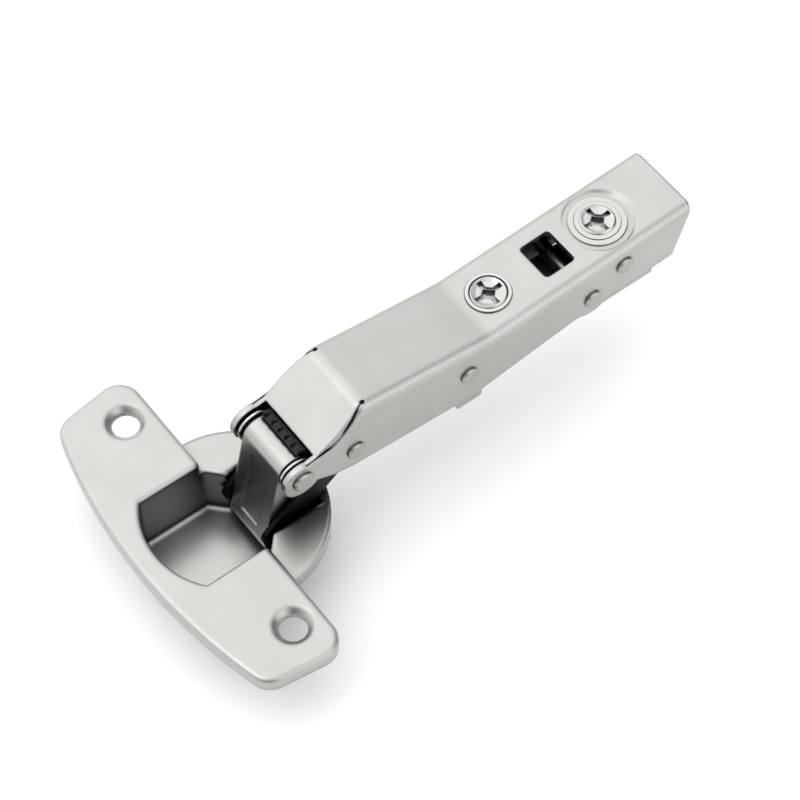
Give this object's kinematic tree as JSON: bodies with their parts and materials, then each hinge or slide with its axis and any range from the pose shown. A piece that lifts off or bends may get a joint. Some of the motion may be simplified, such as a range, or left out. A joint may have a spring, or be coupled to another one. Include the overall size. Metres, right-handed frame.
{
  "type": "concealed cup hinge for a cabinet door",
  "caption": "Concealed cabinet hinge: pressed 35 mm cup with a screw flange, four-bar links and a cranked clip-on arm with side and depth screws and a damper, shown open.",
  "frame": {"origin": "centre of the 35 mm cup bore on the door's face", "axes": "+Z leaves the door along the cup's axis, +X runs along the open arm, away from the cup"},
  "size_m": [0.1187, 0.069, 0.0359],
  "materials": {
    "nickel_sheet": "satin nickel plate on pressed steel sheet",
    "nickel_pin": "nickel plate on turned steel",
    "nickel_screw": "bright nickel plate",
    "black_plastic": "black moulded plastic",
    "spring_steel": "bare spring steel wire and strip"
  },
  "bodies": {
    "cup": {"hinge_cup": "nickel_sheet", "cup_axle": "nickel_pin", "left_stud": "nickel_pin", "right_stud": "nickel_pin"},
    "outer_link": {"outer_link": "nickel_sheet"},
    "inner_link": {"inner_link": "nickel_sheet"},
    "arm": {"hinge_arm": "nickel_sheet", "nose_pin": "nickel_pin", "left_spacer": "nickel_pin", "right_spacer": "nickel_pin", "link_pin": "nickel_pin", "hook_pin": "nickel_pin", "guide_pin": "nickel_pin", "tail_pin": "nickel_pin", "damper_housing": "black_plastic", "damper_cylinder": "nickel_sheet", "spring_seat": "nickel_sheet", "closing_spring": "spring_steel", "side_screw_collar": "nickel_screw", "depth_cam_ring": "nickel_screw"},
    "damper_rod": {"damper_rod": "nickel_pin"},
    "plunger": {"spring_plunger": "black_plastic"},
    "side_screw": {"side_screw": "nickel_screw"},
    "depth_cam": {"depth_cam_screw": "nickel_screw"},
    "slide_block": {"slide_block": "black_plastic", "carrier_axle": "nickel_pin"},
    "carrier": {"clip_carrier": "nickel_sheet", "catch_axle": "nickel_pin", "catch_spring": "spring_steel"},
    "catch": {"release_catch": "nickel_sheet"}
  },
  "joints": [
    {"name": "outer_link_pivot", "type": "hinge", "parent": "cup", "child": "outer_link", "pos_m": [0.007, 0, -0.0072], "axis": [0, -1, 0], "range_deg": [0, 64]},
    {"name": "arm_pivot", "type": "hinge", "parent": "outer_link", "child": "arm", "pos_m": [0.0098, 0, 0.0123], "axis": [0, -1, 0], "range_deg": [0, 26]},
    {"name": "inner_link_pivot", "type": "hinge", "parent": "cup", "child": "inner_link", "pos_m": [0.0044, 0, -0.0034], "axis": [0, -1, 0], "range_deg": [0, 83.6]},
    {"name": "damper_rod_slide", "type": "slide", "parent": "arm", "child": "damper_rod", "axis": [0.9903, 0, -0.1392], "range_m": [0, 0.003]},
    {"name": "plunger_slide", "type": "slide", "parent": "arm", "child": "plunger", "axis": [1, 0, 0], "range_m": [0, 0.0008], "deforming": ["closing_spring"]},
    {"name": "side_screw_turn", "type": "hinge", "parent": "arm", "child": "side_screw", "pos_m": [0.0571, 0, 0.01936], "axis": [-0.0498, 0, 0.9988], "range_deg": [-360, 360]},
    {"name": "depth_cam_turn", "type": "hinge", "parent": "arm", "child": "depth_cam", "pos_m": [0.0823, 0, 0.02031], "axis": [0, 0, 1], "range_deg": [-90, 90]},
    {"name": "depth_slide", "type": "slide", "parent": "arm", "child": "slide_block", "axis": [1, 0, 0], "range_m": [-0.002, 0.002]},
    {"name": "side_tilt", "type": "hinge", "parent": "slide_block", "child": "carrier", "pos_m": [0.0866, 0, 0.0124], "axis": [0, -1, 0], "range_deg": [-1.2, 1.2]},
    {"name": "catch_pivot", "type": "hinge", "parent": "carrier", "child": "catch", "pos_m": [0.0884, 0, 0.0064], "axis": [0, -1, 0], "range_deg": [0, 12], "stiffness_Nm_per_rad": 0.05, "springref_deg": -5.73, "deforming": ["catch_spring"]}
  ],
  "couplings": [
    {"joint": "arm_pivot", "follows": "outer_link_pivot", "ratio": 0.40625},
    {"joint": "inner_link_pivot", "follows": "outer_link_pivot", "ratio": 1.3062},
    {"joint": "damper_rod_slide", "follows": "outer_link_pivot", "m_per_rad": 0.002685},
    {"joint": "plunger_slide", "follows": "outer_link_pivot", "m_per_rad": 0.000716},
    {"joint": "depth_cam_turn", "follows": "depth_slide", "rad_per_m": 785.39},
    {"joint": "side_screw_turn", "follows": "side_tilt", "ratio": 299.99}
  ]
}
